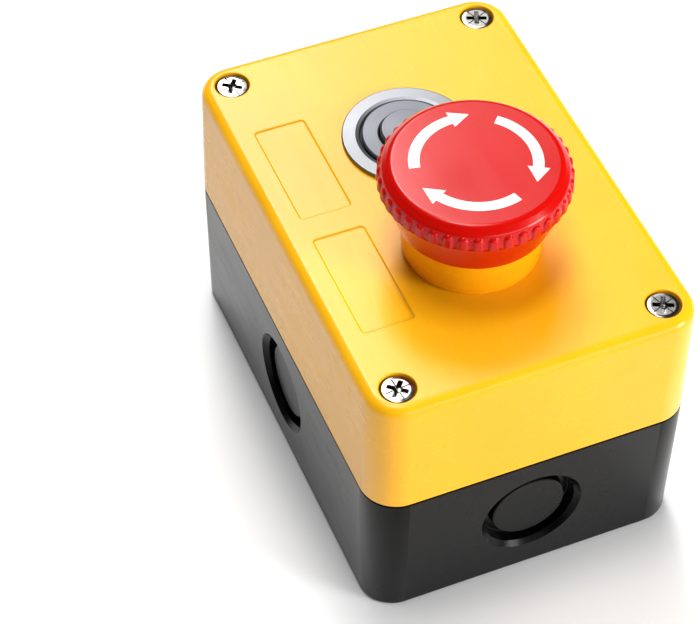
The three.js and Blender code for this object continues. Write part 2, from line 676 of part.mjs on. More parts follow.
// A ring with one flat face and one face that follows heightAt(clockwise angle).
function rampRing(inner, outer, flat, heightAt) {
  const steps = 60;
  const positions = [];
  const faces = [];
  for (let step = 0; step < steps; step += 1) {
    const angle = (step / steps) * 2 * Math.PI;
    const x = Math.cos(angle);
    const y = -Math.sin(angle);
    const ramp = heightAt(angle);
    positions.push([inner * x, inner * y, flat], [outer * x, outer * y, flat]);
    positions.push([outer * x, outer * y, ramp], [inner * x, inner * y, ramp]);
    for (let side = 0; side < 4; side += 1) {
      const a = step * 4 + side;
      const b = step * 4 + ((side + 1) % 4);
      const c = ((step + 1) % steps) * 4 + side;
      const d = ((step + 1) % steps) * 4 + ((side + 1) % 4);
      faces.push([a, b, d], [a, d, c]);
    }
  }
  const geometry = new THREE.BufferGeometry();
  geometry.setAttribute("position", new THREE.Float32BufferAttribute(positions.flat(), 3));
  const rightWay = flat < heightAt(0) ? faces : faces.map(([a, b, c]) => [a, c, b]);
  geometry.setIndex(rightWay.flat());
  return geometry;
}

function keyCam() {
  return rampRing(3.3, 8.2, KEY_CAM_TOP, (angle) => KEY_CAM_FACE - rampDepth(angle, 0));
}

function keyPusher() {
  const low = KEY_CAM_FACE - 0.15 - (KEY_TRAVEL / KEY_TURN) * RAMP_TURN;
  const lead = THREE.MathUtils.degToRad(12);
  const ring = rampRing(4.2, 8.2, low - 1.5, (angle) => KEY_CAM_FACE - 0.15 - rampDepth(angle, lead));
  const disc = post(5, low - 1.5, low - 0.2, 0, 0, FINE);
  return join(ring, disc, block(-3.5, 3.5, -3.5, 3.5, -19.5, low - 0.5));
}

function keySwitch() {
  const group = new THREE.Group();
  group.add(
    mesh("key_bezel", keyBezel(), SATIN_CHROME),
    mesh("key_trim_ring", keyTrimRing(), GREY_METAL),
    mesh("key_sleeve", keySleeve(), BLACK_PLASTIC),
    mesh("key_nut_washer", nutWasher(), RUBBER),
    mesh("key_ring_nut", ringNut(), GREY_PLASTIC),
    mesh("key_cylinder", keyCylinder(), GREY_METAL),
    mesh("key_cam", keyCam(), GREY_PLASTIC),
    mesh("key_pusher", keyPusher(), GREY_PLASTIC),
    mesh("key_contact_carrier", contactCarrier(), GREY_PLASTIC),
    contactBlock("key", { plungerTop: -19.8, barTop: -33.1, stripBottom: -39, normallyClosed: false }),
  );
  return group;
}

// The whole object

const station = new THREE.Group();
station.add(enclosure());

const stop = emergencyStop();
stop.position.set(STATION_X, STOP_Y, BOX_HEIGHT);
const key = keySwitch();
key.position.set(STATION_X, KEY_Y, BOX_HEIGHT);
station.add(stop, key);

export default station;
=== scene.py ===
import json
import math

import bpy
import numpy as np
from mathutils import Matrix, Vector


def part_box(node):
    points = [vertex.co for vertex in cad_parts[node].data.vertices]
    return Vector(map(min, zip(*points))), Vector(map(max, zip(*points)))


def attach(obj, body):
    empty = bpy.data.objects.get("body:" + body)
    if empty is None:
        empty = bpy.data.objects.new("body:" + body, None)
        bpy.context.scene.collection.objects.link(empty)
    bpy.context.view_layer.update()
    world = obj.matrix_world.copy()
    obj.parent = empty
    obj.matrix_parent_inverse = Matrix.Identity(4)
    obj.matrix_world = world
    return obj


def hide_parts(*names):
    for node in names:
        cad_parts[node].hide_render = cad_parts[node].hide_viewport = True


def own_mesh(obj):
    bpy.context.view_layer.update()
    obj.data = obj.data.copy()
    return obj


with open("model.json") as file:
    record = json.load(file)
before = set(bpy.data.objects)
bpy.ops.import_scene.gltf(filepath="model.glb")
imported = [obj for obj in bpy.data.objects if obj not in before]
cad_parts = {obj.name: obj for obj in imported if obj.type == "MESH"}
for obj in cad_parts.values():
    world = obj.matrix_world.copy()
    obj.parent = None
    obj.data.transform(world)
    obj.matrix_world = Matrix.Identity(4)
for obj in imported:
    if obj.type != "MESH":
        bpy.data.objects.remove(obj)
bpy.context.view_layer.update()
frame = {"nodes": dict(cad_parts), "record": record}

MM = 0.001
TAU = 2 * math.pi

# Sizes in millimetres and drafts in radians, in the frame's own axes.
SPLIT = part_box("base_box")[1].z / MM
LID_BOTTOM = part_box("lid")[0].z / MM
LID_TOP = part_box("lid")[1].z / MM
HALF_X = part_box("base_box")[1].x / MM
HALF_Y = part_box("base_box")[1].y / MM
CORNER_RADIUS = 7.8
LID_EDGE_RADIUS = 2.3
LID_DRAFT = math.radians(0.64)
BASE_DRAFT = math.radians(0.73)
WALL = 3.0
FLOOR_THICKNESS = 2.5
RIM_RADIUS = 0.2
SCREW_X = 28.8
SCREW_Y = 45.2
SCREW_BORE_RADIUS = 2.2
BOSS_RADIUS = 5.0
PILOT_BOTTOM = 12.0
WALL_HOLE_RADIUS = 2.2
WALL_HOLE_X = 20.0
WALL_HOLE_Y = 40.0
PANEL_HOLE_RADIUS = 11.2
WELL_RADIUS = 3.75
SCREW_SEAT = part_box("lid_screw_1")[1].z / MM - 2.6
STOP_CENTRE = (0.0, -15.7)
KEY_CENTRE = (0.0, 16.7)
LABEL_DEPTH = 0.3
LABEL_LEFT = -29.8
LABEL_RIGHT = -18.4
LABEL_LENGTH = 27.0
LABEL_STARTS = (2.9, -30.1)
LABEL_CORNER_RADIUS = 0.9
KNOCKOUT_HEIGHT = 17.9

LIGHT_AIM = Vector((0, 0, 0.05))
LIGHT_DISTANCE = 1.4


# ---------------------------------------------------------------- camera and light

def add_camera():
    azimuth = math.radians(-23.07)
    elevation = math.radians(49.17)
    roll = math.radians(0.80)
    distance = 0.5554
    target = Vector((-0.0179, 0.00445, 0.0291))
    back = Vector((
        math.sin(azimuth) * math.cos(elevation),
        -math.cos(azimuth) * math.cos(elevation),
        math.sin(elevation),
    ))
    level_right = Vector((0, 0, 1)).cross(back).normalized()
    level_up = back.cross(level_right)
    right = math.cos(roll) * level_right + math.sin(roll) * level_up
    up = -math.sin(roll) * level_right + math.cos(roll) * level_up
    data = bpy.data.cameras.new("camera")
    data.sensor_width = 36
    data.lens = 131.82
    data.clip_start = 0.01
    data.clip_end = 20
    camera = bpy.data.objects.new("camera", data)
    camera.matrix_world = Matrix((right, up, back)).transposed().to_4x4()
    camera.location = target + back * distance
    bpy.context.scene.collection.objects.link(camera)
    bpy.context.scene.camera = camera


def add_soft_box(name, azimuth, elevation, size, brightness):
    """A soft box facing the object. Its azimuth is anticlockwise from +X, in degrees, and its
    brightness is the radiance of its face."""
    around, up = math.radians(azimuth), math.radians(elevation)
    outwards = Vector((
        math.cos(around) * math.cos(up),
        math.sin(around) * math.cos(up),
        math.sin(up),
    ))
    data = bpy.data.lights.new(name, "AREA")
    data.shape = "RECTANGLE"
    data.size, data.size_y = size
    data.energy = brightness * math.pi * size[0] * size[1]
    light = bpy.data.objects.new(name, data)
    light.location = LIGHT_AIM + outwards * LIGHT_DISTANCE
    light.rotation_euler = outwards.to_track_quat("Z", "Y").to_euler()
    bpy.context.scene.collection.objects.link(light)


def add_lighting():
    world = bpy.data.worlds.new("studio")
    world.use_nodes = True
    background = world.node_tree.nodes["Background"]
    background.inputs["Color"].default_value = (1, 1, 1, 1)
    background.inputs["Strength"].default_value = 0.06
    bpy.context.scene.world = world
    add_soft_box("back_upper", 80, 54, (0.34, 0.34), 18.5)
    add_soft_box("back_upper_right", 60, 56, (0.26, 0.30), 3.6)
    add_soft_box("back_lower", 79, 40, (0.34, 0.34), 10.4)
    add_soft_box("back_lower_right", 62, 40, (0.30, 0.34), 2.4)
    add_soft_box("back_high", 86, 68, (0.50, 0.34), 4.5)
    add_soft_box("overhead", 120, 85.5, (0.58, 0.40), 14.5)
    add_soft_box("front_right", 314, 18, (0.45, 0.45), 24)
    add_soft_box("front", 280, 18, (0.90, 0.45), 4.6)
    bpy.context.scene.view_settings.view_transform = "Standard"


# ---------------------------------------------------------------- materials

class Look:
    """A procedural material under construction: short ways to add and link nodes."""

    def __init__(self, name):
        self.material = bpy.data.materials.new(name)
        self.material.use_nodes = True
        self.tree = self.material.node_tree
        self.shader = self.tree.nodes["Principled BSDF"]
        self.coords = self.add("ShaderNodeTexCoord").outputs["Object"]

    def add(self, kind, inputs=None, **settings):
        node = self.tree.nodes.new(kind)
        for key, value in settings.items():
            setattr(node, key, value)
        for key, value in (inputs or {}).items():
            if isinstance(value, bpy.types.NodeSocket):
                self.tree.links.new(value, node.inputs[key])
            else:
                node.inputs[key].default_value = value
        return node

    def set(self, **values):
        for key, value in values.items():
            socket = self.shader.inputs[key.replace("_", " ")]
            if isinstance(value, bpy.types.NodeSocket):
                self.tree.links.new(value, socket)
            else:
                socket.default_value = value

    def noise(self, size, detail=4.0, roughness=0.55, stretch=(1, 1, 1)):
        """Noise whose features are about size millimetres across."""
        mapping = self.add("ShaderNodeMapping", {"Vector": self.coords, "Scale": stretch})
        node = self.add("ShaderNodeTexNoise", {
            "Vector": mapping.outputs["Vector"], "Scale": 1 / (size * MM),
            "Detail": detail, "Roughness": roughness,
        })
        return node.outputs["Fac"]

    def between(self, value, low, high):
        node = self.add("ShaderNodeMapRange", {
            "Value": value, "From Min": 0.3, "From Max": 0.7, "To Min": low, "To Max": high,
        })
        return node.outputs["Result"]

    def mix(self, amount, first, second):
        """The first colour where amount is 0, the second where it is 1."""
        node = self.add("ShaderNodeMix", {
            "Factor": amount, 6: (*first, 1), 7: (*second, 1),
        }, data_type="RGBA")
        return node.outputs[2]

    def bump(self, height, depth):
        """Bump of about depth millimetres."""
        inputs = {"Height": height, "Distance": depth * MM, "Strength": 1.0}
        return self.add("ShaderNodeBump", inputs).outputs["Normal"]


def plastic(name, color, roughness, grain=0.35, grain_depth=0.006, variation=0.04, edge_only=0.6):
    """Moulded plastic: fine grain, slight cloudiness in colour and gloss, and rare fine scuffs.
    An edge_only below 1 weakens reflections seen straight on and leaves those at a low angle."""
    look = Look(name)
    cloud = look.noise(18, detail=3)
    dark = tuple(c * (1 - variation) for c in color)
    light = tuple(min(c * (1 + variation), 1) for c in color)
    base = look.mix(look.between(cloud, 0, 1), dark, light)
    fine = look.noise(grain, detail=2)
    streaks = look.noise(2.5, detail=5, stretch=(1, 0.12, 1))
    gloss = look.add("ShaderNodeMath", {
        0: look.between(cloud, roughness - 0.02, roughness + 0.02),
        1: look.between(streaks, -0.02, 0.03),
    }, operation="ADD")
    look.set(Base_Color=base, Roughness=gloss.outputs[0])
    look.set(Normal=look.bump(fine, grain_depth))
    look.shader.inputs["Specular Tint"].default_value = (edge_only, edge_only, edge_only, 1)
    return look.material


def metal(name, color, roughness, line_size=0.12, line_depth=0.002):
    """Bare or plated metal with fine tool marks and uneven polish."""
    look = Look(name)
    lines = look.noise(line_size, detail=3)
    cloud = look.noise(6, detail=4)
    dark = tuple(c * 0.9 for c in color)
    base = look.mix(look.between(cloud, 0, 1), dark, color)
    look.set(Base_Color=base, Metallic=1.0)
    look.set(Roughness=look.between(cloud, roughness * 0.85, roughness * 1.2))
    look.set(Normal=look.bump(lines, line_depth))
    return look.material


def turned_metal(name, color, roughness, centre, pitch=0.22, depth=0.0015, stretch=0.5):
    """Metal faced on a lathe: fine rings about the piece's own axis, and a gloss drawn out across them."""
    look = Look(name)
    offset = look.add("ShaderNodeVectorMath", {
        0: look.coords, 1: (centre[0] * MM, centre[1] * MM, 0),
    }, operation="SUBTRACT")
    split = look.add("ShaderNodeSeparateXYZ", {"Vector": offset.outputs[0]})
    flat = look.add("ShaderNodeCombineXYZ", {"X": split.outputs["X"], "Y": split.outputs["Y"]})
    radius = look.add("ShaderNodeVectorMath", {0: flat.outputs[0]}, operation="LENGTH").outputs["Value"]
    ringed = look.add("ShaderNodeCombineXYZ", {"X": radius, "Y": 0.0, "Z": 0.0})
    rings = look.add("ShaderNodeTexNoise", {
        "Vector": ringed.outputs[0], "Scale": 1 / (pitch * MM), "Detail": 3.0, "Roughness": 0.6,
    }).outputs["Fac"]
    cloud = look.noise(5, detail=4)
    dark = tuple(c * 0.93 for c in color)
    base = look.mix(look.between(cloud, 0, 1), dark, color)
    look.set(Base_Color=base, Metallic=1.0, Anisotropic=stretch)
    look.set(Roughness=look.between(rings, roughness * 0.9, roughness * 1.15))
    look.set(Normal=look.bump(rings, depth))
    tangent = look.add("ShaderNodeTangent", direction_type="RADIAL", axis="Z")
    look.set(Tangent=tangent.outputs[0])
    return look.material


def make_materials():
    yellow = (0.98, 0.47, 0.006)
    return {
        "yellow_plastic": plastic("yellow_abs", yellow, 0.26, grain=0.4, grain_depth=0.002),
        "collar_yellow": plastic("collar_yellow", (1.0, 0.40, 0.003), 0.26, grain=0.6, grain_depth=0.002),
        "black_plastic": plastic("black_abs", (0.002, 0.0019, 0.0018), 0.25, grain=0.4,
                                 grain_depth=0.003, variation=0.1, edge_only=0.1),
        "red_plastic": plastic("red_plastic", (0.56, 0.003, 0.001), 0.19, grain=0.7, grain_depth=0.0012,
                               edge_only=0.46),
        "arrow_white": plastic("arrow_white", (0.92, 0.91, 0.86), 0.4, grain=0.5, grain_depth=0.002),
        "grey_plastic": plastic("grey_plastic", (0.16, 0.165, 0.175), 0.45),
        "green_plastic": plastic("green_plastic", (0.02, 0.16, 0.05), 0.4),
        "rubber": plastic("black_rubber", (0.012, 0.012, 0.012), 0.75, grain=0.5, grain_depth=0.02),
        "nickel": metal("bright_nickel", (0.30, 0.29, 0.275), 0.12),
        "satin_chrome": turned_metal("satin_chrome", (0.20, 0.205, 0.215), 0.40, KEY_CENTRE),
        "grey_metal": turned_metal("grey_anodised", (0.25, 0.255, 0.28), 0.62, KEY_CENTRE),
        "brass": metal("brass", (0.78, 0.52, 0.18), 0.28),
        "spring_steel": metal("spring_wire", (0.60, 0.61, 0.62), 0.28, line_size=0.4),
    }


# ---------------------------------------------------------------- mesh tools

def new_object(name, vertices, faces):
    mesh = bpy.data.meshes.new(name)
    mesh.from_pydata([tuple(v) for v in np.asarray(vertices, float) * MM], [], faces)
    mesh.validate()
    piece = bpy.data.objects.new(name, mesh)
    bpy.context.scene.collection.objects.link(piece)
    return piece


def skin(rings, ends="flat", closed=False):
    """Vertices and faces of a body through rings of points. Its ends are flat caps, points or joined up."""
    rings = [np.asarray(ring, float) for ring in rings]
    count = len(rings[0])
    vertices = [tuple(p) for ring in rings for p in ring]
    faces = []
    spans = len(rings) if closed else len(rings) - 1
    for level in range(spans):
        low = level * count
        high = ((level + 1) % len(rings)) * count
        for i in range(count):
            j = (i + 1) % count
            faces.append((low + i, low + j, high + j, high + i))
    if not closed:
        last = (len(rings) - 1) * count
        if ends == "flat":
            faces.append(tuple(reversed(range(count))))
            faces.append(tuple(last + i for i in range(count)))
        else:
            for ring_start, ring, flip in ((0, rings[0], True), (last, rings[-1], False)):
                centre = len(vertices)
                vertices.append(tuple(ring.mean(0)))
                for i in range(count):
                    j = (i + 1) % count
                    a, b = ring_start + i, ring_start + j
                    faces.append((centre, b, a) if flip else (centre, a, b))
    return vertices, faces


def rounded_path(corners, closed=False, hold=0.08):
    """A path through corners given as (x, y, radius), with each corner turned into an arc, and a
    point close by on each straight so that it stays flat under smooth shading."""
    points = []
    count = len(corners)
    for index, (x, y, radius) in enumerate(corners):
        here = np.array([x, y], float)
        inner = closed or 0 < index < count - 1
        if radius <= 0 or not inner:
            points.append(here)
            continue
        before = np.array(corners[index - 1][:2], float) - here
        after = np.array(corners[(index + 1) % count][:2], float) - here
        before /= np.linalg.norm(before)
        after /= np.linalg.norm(after)
        half = math.acos(np.clip(before @ after, -1, 1)) / 2
        reach = radius / math.tan(half)
        centre = here + (before + after) / np.linalg.norm(before + after) * radius / math.sin(half)
        start = here + before * reach - centre
        end = here + after * reach - centre
        turn = math.atan2(start[0] * end[1] - start[1] * end[0], start @ end)
        steps = max(3, int(abs(turn) / math.radians(12)))
        points.append(here + before * (reach + min(hold, radius)))
        for step in range(steps + 1):
            angle = turn * step / steps
            c, s = math.cos(angle), math.sin(angle)
            points.append(centre + np.array([c * start[0] - s * start[1], s * start[0] + c * start[1]]))
        points.append(here + after * (reach + min(hold, radius)))
    return points


def revolve(profile, segments=128, centre=(0, 0)):
    """A body turned about Z from (radius, height) points; it closes on itself unless it meets the axis."""
    on_axis = profile[0][0] == 0 and profile[-1][0] == 0
    inner = profile[1:-1] if on_axis else profile
    rings = []
    for radius, height in inner:
        angles = np.arange(segments) * TAU / segments
        ring = np.stack([
            centre[0] + radius * np.cos(angles),
            centre[1] + radius * np.sin(angles),
            np.full(segments, height),
        ], 1)
        rings.append(ring)
    if on_axis:
        vertices, faces = skin(rings, ends="point")
        vertices[-2] = (*centre, profile[0][1])
        vertices[-1] = (*centre, profile[-1][1])
        return vertices, faces
    return skin(rings, closed=True)


def rounded_rectangle(half_x, half_y, radius, steps=24):
    points = []
    for sign_x, sign_y, quarter in ((1, 1, 0), (-1, 1, 1), (-1, -1, 2), (1, -1, 3)):
        for step in range(steps + 1):
            angle = (quarter + step / steps) * math.pi / 2
            points.append((
                sign_x * (half_x - radius) + radius * math.cos(angle),
                sign_y * (half_y - radius) + radius * math.sin(angle),
            ))
    return np.array(points)


def box_ring(z, inset, steps=24):
    """The enclosure's outline at a height, moved inwards by inset."""
    radius = max(CORNER_RADIUS - inset, 0.8)
    outline = rounded_rectangle(HALF_X - inset, HALF_Y - inset, radius, steps)
    return np.column_stack([outline, np.full(len(outline), z)])


def joined(parts):
    """Several vertex and face lists as one."""
    vertices, faces = [], []
    for part_vertices, part_faces in parts:
        start = len(vertices)
        vertices.extend(part_vertices)
        faces.extend(tuple(i + start for i in face) for face in part_faces)
    return vertices, faces


def moved(part, offset=(0, 0, 0), turn=None):
    vertices = np.asarray(part[0], float)
    if turn is not None:
        vertices = vertices @ np.array(turn.to_3x3()).T
    return [tuple(v) for v in vertices + np.asarray(offset, float)], part[1]


def combine(piece, part, operation):
    """Applies a boolean of part, a vertex and face list, to piece."""
    tool = new_object(piece.name + "_tool", *part)
    modifier = piece.modifiers.new("boolean", "BOOLEAN")
    modifier.operation = operation
    modifier.solver = "EXACT"
    modifier.object = tool
    bpy.context.view_layer.update()
    depsgraph = bpy.context.evaluated_depsgraph_get()
    result = bpy.data.meshes.new_from_object(piece.evaluated_get(depsgraph))
    piece.modifiers.clear()
    old = piece.data
    piece.data = result
    bpy.data.meshes.remove(old)
    bpy.data.objects.remove(tool)


def shade(piece, sharp_angle=32, flat_normal=None):
    """Smooth shading with sharp creases. Faces square to an axis within flat_normal stay flat."""
    mesh = piece.data
    normals = np.zeros(len(mesh.polygons) * 3)
    mesh.polygons.foreach_get("normal", normals)
    smooth = np.ones(len(mesh.polygons), bool)
    if flat_normal is not None:
        smooth = np.abs(normals.reshape(-1, 3)).max(1) < flat_normal
    mesh.set_sharp_from_angle(angle=math.radians(sharp_angle))
    mesh.polygons.foreach_set("use_smooth", smooth)
    mesh.update()


def finish_piece(piece, body, slot_name, replaced=(), **shading):
    shade(piece, **shading)
    piece.data.materials.clear()
    piece.data.materials.append(MATERIALS[slot_name])
    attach(piece, body)
    if replaced:
        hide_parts(*replaced)


# ---------------------------------------------------------------- enclosure

FLAT = 0.9996  # cosine of 1.6 degrees: keeps the drafted walls flat but not the first facets beside them
CORNERS = [(-1, -1), (1, -1), (1, 1), (-1, 1)]


def lid_inset(z):
    return (z - SPLIT) * math.tan(LID_DRAFT)


def base_inset(z):
    return (SPLIT - z) * math.tan(BASE_DRAFT)


def arc(steps):
    return [math.pi / 2 * step / steps for step in range(steps + 1)]


def post(radius, low, high, segments, centre):
    return revolve([(0, low), (radius, low), (radius, high), (0, high)], segments, centre)


def at_corners(radius, low, high, segments):
    """Posts or holes on the four lid screws' axes."""
    return [post(radius, low, high, segments, (x * SCREW_X, y * SCREW_Y)) for x, y in CORNERS]


def well_cutter(x, y):
    lip = 0.25
    profile = rounded_path([
        (0, SCREW_SEAT, 0), (WELL_RADIUS, SCREW_SEAT, 0.15), (WELL_RADIUS, LID_TOP - lip, 0),
    ])
    profile += [
        (WELL_RADIUS + lip * (1 - math.cos(a)), LID_TOP - lip + lip * math.sin(a)) for a in arc(5)[1:]
    ]
    profile += [(WELL_RADIUS + lip, LID_TOP + 1), (0, LID_TOP + 1)]
    return revolve(profile, 72, (x, y))


def label_cutter(y0, y1):
    """A shallow recess with a softly sloping edge. Its levels are heights from the lid's top face,
    each with how far the outline has grown there."""
    half = ((LABEL_RIGHT - LABEL_LEFT) / 2, (y1 - y0) / 2)
    centre = np.array([(LABEL_LEFT + LABEL_RIGHT) / 2, (y0 + y1) / 2, 0])
    depth = LABEL_DEPTH
    levels = [
        (-depth, -0.45), (-depth, -0.35), (-depth + 0.02, -0.25),
        (-0.06, -0.06), (-0.02, 0.04), (0, 0.14), (1, 0.14),
    ]
    rings = []
    for height, grow in levels:
        outline = rounded_rectangle(half[0] + grow, half[1] + grow, LABEL_CORNER_RADIUS + grow, 8)
        rings.append(np.column_stack([outline, np.full(len(outline), LID_TOP + height)]) + centre)
    return skin(rings)


def make_lid():
    levels = [(LID_BOTTOM + RIM_RADIUS * (1 - math.cos(a)), RIM_RADIUS * (1 - math.sin(a))) for a in arc(4)]
    levels = [(z, lid_inset(z) + inset) for z, inset in levels]
    levels += [
        (LID_TOP - LID_EDGE_RADIUS * (1 - math.sin(a)),
         lid_inset(LID_TOP) + LID_EDGE_RADIUS * (1 - math.cos(a)))
        for a in arc(14)
    ]
    piece = new_object("lid_shell", *skin([box_ring(z, inset) for z, inset in levels]))
    ceiling = LID_TOP - WALL
    cavity = [
        (LID_BOTTOM - 1, WALL), (ceiling - 2, WALL + 0.4),
        (ceiling - 0.6, WALL + 0.8), (ceiling, WALL + 2),
    ]
    combine(piece, skin([box_ring(z, inset, 8) for z, inset in cavity]), "DIFFERENCE")
    combine(piece, joined(at_corners(BOSS_RADIUS, LID_BOTTOM + 0.01, ceiling + 1, 48)), "UNION")
    cutters = [well_cutter(x * SCREW_X, y * SCREW_Y) for x, y in CORNERS]
    cutters += at_corners(SCREW_BORE_RADIUS, LID_BOTTOM - 1, SCREW_SEAT - 0.3, 32)
    cutters += [
        post(PANEL_HOLE_RADIUS, ceiling - 1, LID_TOP + 1, 96, centre)
        for centre in (STOP_CENTRE, KEY_CENTRE)
    ]
    cutters += [label_cutter(start, start + LABEL_LENGTH) for start in LABEL_STARTS]
    combine(piece, joined(cutters), "DIFFERENCE")
    through = at_corners(SCREW_BORE_RADIUS, SCREW_SEAT - 1, SCREW_SEAT + 0.5, 32)
    combine(piece, joined(through), "DIFFERENCE")
    finish_piece(piece, "enclosure", "yellow_plastic", ["lid"], flat_normal=FLAT)


def knockout_cutter():
    """A cutter for one knockout, turned about Z: the wall's face is at z = 0, with its outside above."""
    mouth = rounded_path([
        (0, -1, 0), (11.8, -1, 0), (11.4, 0, 0), (10.2, 1.2, 0.3), (10.2, 3.8, 0.3), (8.2, 3.8, 0.3),
        (8.2, 1.75, 0), (7.95, 1.6, 0), (0, 1.6, 0),
    ])
    mouth = [(radius, -depth) for radius, depth in mouth]
    return revolve(mouth[::-1], 96)


def make_base():
    levels = [(0.6 * (1 - math.cos(a)), base_inset(0) + 0.6 * (1 - math.sin(a))) for a in arc(6)]
    levels += [(SPLIT - RIM_RADIUS * (1 - math.sin(a)), RIM_RADIUS * (1 - math.cos(a))) for a in arc(4)]
    piece = new_object("base_shell", *skin([box_ring(z, inset) for z, inset in levels]))
    cavity = [(FLOOR_THICKNESS, WALL + 0.4), (SPLIT + 1, WALL)]
    combine(piece, skin([box_ring(z, inset, 8) for z, inset in cavity]), "DIFFERENCE")
    walls = [(0, HALF_Y), (math.pi, HALF_Y), (math.pi / 2, HALF_X), (-math.pi / 2, HALF_X)]
    to_wall = Matrix.Rotation(math.pi / 2, 4, "X")
    pads, cutters = [], []
    for turn, reach in walls:
        spin = Matrix.Rotation(turn, 4, "Z")
        place = spin.to_3x3() @ Vector((0, base_inset(KNOCKOUT_HEIGHT) - reach, 0))
        offset = (place.x, place.y, KNOCKOUT_HEIGHT)
        pad = revolve([(0, -5), (12.4, -5), (12.4, -1.5), (0, -1.5)], 64)
        pads.append(moved(pad, offset, spin @ to_wall))
        cutters.append(moved(knockout_cutter(), offset, spin @ to_wall))
    bosses = at_corners(BOSS_RADIUS, 1, SPLIT - 0.01, 48)
    combine(piece, joined(pads + bosses), "UNION")
    cutters += at_corners(SCREW_BORE_RADIUS, PILOT_BOTTOM, SPLIT + 1, 24)
    cutters += [
        post(WALL_HOLE_RADIUS, -1, FLOOR_THICKNESS + 1.5, 32, (x * WALL_HOLE_X, y * WALL_HOLE_Y))
        for x, y in CORNERS
    ]
    combine(piece, joined(cutters), "DIFFERENCE")
    finish_piece(piece, "enclosure", "black_plastic", ["base_box"], flat_normal=FLAT)


def make_screws():
    """Bright cross-recess screws, each turned to its own angle."""
    head_radius = 3.4
    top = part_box("lid_screw_1")[1].z / MM
    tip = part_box("lid_screw_1")[0].z / MM
    seat = SCREW_SEAT + 0.05
    profile = rounded_path([
        (0, tip, 0), (1.1, tip, 0), (1.9, tip + 2, 0), (1.9, seat, 0), (head_radius, seat, 0.15),
        (head_radius, top - 0.1, 0.3), (2.6, top, 0.6), (0, top, 0),
    ])
    cross_depth = 1.7
    cross_reach = 2.3
    lower = [(-0.2, 0.4), (1.6, 0.36), (1.6, -0.36), (-0.2, -0.4)]
    upper = [(-0.3, 0.58), (cross_reach, 0.52), (cross_reach, -0.52), (-0.3, -0.58)]
    arms = []
    for quarter in range(4):
        spin = Matrix.Rotation(quarter * math.pi / 2, 4, "Z")
        rings = [
            [(x, -y, top - cross_depth) for x, y in lower],
            [(x, -y, top + 0.2) for x, y in upper],
        ]
        arms.append(moved(skin(rings), turn=spin))
    core = skin([
        [(0.75 * math.cos(a), 0.75 * math.sin(a), z) for a in np.arange(16) * TAU / 16]
        for z in (top - cross_depth - 0.2, top + 0.2)
    ])
    ticks = []
    for quarter in range(4):
        spin = Matrix.Rotation((quarter + 0.5) * math.pi / 2, 4, "Z")
        rings = [
            [(0.5, -half, z), (reach, -half, z), (reach, half, z), (0.5, half, z)]
            for z, reach, half in ((top - 0.4, 2.9, 0.08), (top + 0.1, 3.1, 0.14))
        ]
        ticks.append(moved(skin(rings), turn=spin))
    angles = (50, 65, 68, 55)
    for index, ((x, y), angle) in enumerate(zip(CORNERS, angles)):
        piece = new_object(f"screw_{index + 1}", *revolve(profile, 64))
        for arm in arms:
            combine(piece, arm, "DIFFERENCE")
        combine(piece, core, "DIFFERENCE")
        combine(piece, joined(ticks), "DIFFERENCE")
        piece.data.transform(Matrix.Rotation(math.radians(angle), 4, "Z"))
        piece.data.transform(Matrix.Translation((x * SCREW_X * MM, y * SCREW_Y * MM, 0)))
        finish_piece(piece, "enclosure", "nickel", [f"lid_screw_{index + 1}"])


# ---------------------------------------------------------------- emergency stop button

SKIRT_BOTTOM = LID_TOP + 9.5
SKIRT_RADIUS = 15.9
TEETH_BOTTOM = LID_TOP + 18.75
TEETH = 40


def make_collar():
    h = LID_TOP
    profile = rounded_path([
        (11.25, h + 0.02, 0), (11.9, h + 0.02, 0), (11.9, h + 1, 0), (13.4, h + 1, 0), (13.4, h + 0.02, 0),
        (14.2, h + 0.02, 0.25), (14.4, h + 1.5, 2.0), (14.45, h + 5, 8.0), (14.3, h + 9.6, 0.4),
        (13.7, h + 10.4, 0.3), (12.7, h + 10.5, 0.1), (12.7, h + 6.9, 0), (11.25, h + 6.9, 0),
    ], closed=True)
    piece = new_object("collar", *revolve(profile, 192, STOP_CENTRE))
    finish_piece(piece, "enclosure", "collar_yellow", ["estop_collar"])


HEAD_TOP = LID_TOP + 23.72
HEAD_SAG = 0.22  # how far the slightly domed face has fallen at its edge
HEAD_EDGE = 17.2


def head_top_height(radius):
    return HEAD_TOP - HEAD_SAG * (radius / HEAD_EDGE) ** 2


def rib_radius(lateral, height):
    """The outside of one grip rib, an arched pad, at a sideways distance from its middle line. It is
    zero clear of the rib."""
    half_width = 1.08
    spring_line = LID_TOP + 20.45
    distance = np.sqrt(lateral ** 2 + np.maximum(height - spring_line, 0) ** 2)
    edge = np.clip((distance - 0.45) / (half_width - 0.45), 0, 1)
    crown = 19.68 - 0.05 * (height - TEETH_BOTTOM) - 0.05 * (lateral / half_width) ** 2
    foot = band_radius(height) - 0.05
    return np.where(distance < half_width, foot + (crown - foot) * np.sqrt(1 - edge ** 2.2), 0)


def band_radius(height):
    """The wall between the ribs, which carries on the slope of the shoulder above it."""
    return 19.34 - 0.42 * ((height - TEETH_BOTTOM) / 2.7) ** 1.6


